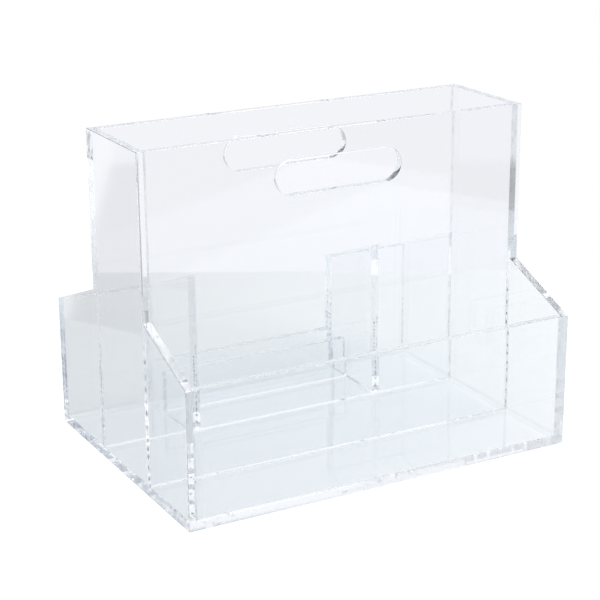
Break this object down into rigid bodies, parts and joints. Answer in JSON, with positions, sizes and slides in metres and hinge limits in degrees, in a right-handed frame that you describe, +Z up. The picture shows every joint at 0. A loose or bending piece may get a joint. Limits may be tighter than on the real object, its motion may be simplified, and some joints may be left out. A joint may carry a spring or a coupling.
{
  "type": "desk caddy",
  "caption": "Clear acrylic desk caddy with a tall open file box across the middle, a low tray in front, and square cups and low bins behind.",
  "frame": {"origin": "centre of the underside of the base plate, on the table", "axes": "+X to the right along the width, +Y to the back through the file box to the cups, +Z up"},
  "size_m": [0.3174, 0.2324, 0.253],
  "materials": {
    "clear_acrylic": "polished clear cast acrylic sheet with polished edges"
  },
  "bodies": {
    "root": {"base_plate": "clear_acrylic", "left_side_panel": "clear_acrylic", "right_side_panel": "clear_acrylic", "front_wall": "clear_acrylic", "file_front_panel": "clear_acrylic", "file_back_panel": "clear_acrylic", "left_cup_divider": "clear_acrylic", "right_cup_divider": "clear_acrylic", "left_cup_rear_wall": "clear_acrylic", "right_cup_rear_wall": "clear_acrylic", "bin_divider": "clear_acrylic", "bin_rear_wall": "clear_acrylic"}
  },
  "joints": []
}
